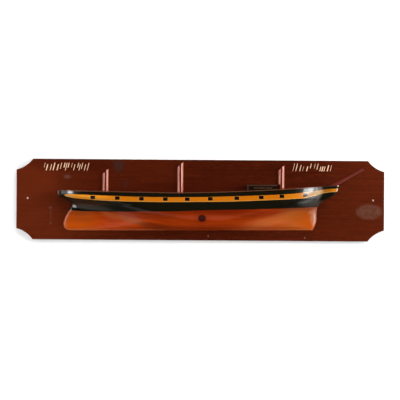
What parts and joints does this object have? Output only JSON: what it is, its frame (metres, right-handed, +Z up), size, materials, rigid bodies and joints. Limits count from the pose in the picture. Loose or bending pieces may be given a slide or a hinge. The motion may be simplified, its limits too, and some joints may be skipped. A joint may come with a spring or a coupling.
{
  "type": "ship half hull model",
  "caption": "Carved and painted half hull of a sailing barque with cut-off masts and a bowsprit, on a long wall board with scooped corners.",
  "frame": {"origin": "middle of the board's back face, where it lies against the wall", "axes": "+X from the stern to the bow along the board, +Y into the wall, +Z up"},
  "size_m": [1.219, 0.108, 0.267],
  "materials": {
    "board_mahogany": "dark stained mahogany with a gloss varnish",
    "hull_pine": "varnished pine below, black and ochre gloss paint above",
    "rail_wood": "light wood strip, satin varnish",
    "house_paint": "dark green-black gloss paint with pale panels",
    "spar_mahogany": "red mahogany with a high gloss varnish",
    "lettering_cream": "thin cream paint, in short strokes on the board"
  },
  "bodies": {
    "root": {"backboard": "board_mahogany", "hull": "hull_pine", "cap_rail": "rail_wood", "deckhouse": "house_paint", "mizzen_stump": "spar_mahogany", "main_stump": "spar_mahogany", "fore_stump": "spar_mahogany", "bowsprit": "spar_mahogany"}
  },
  "joints": []
}
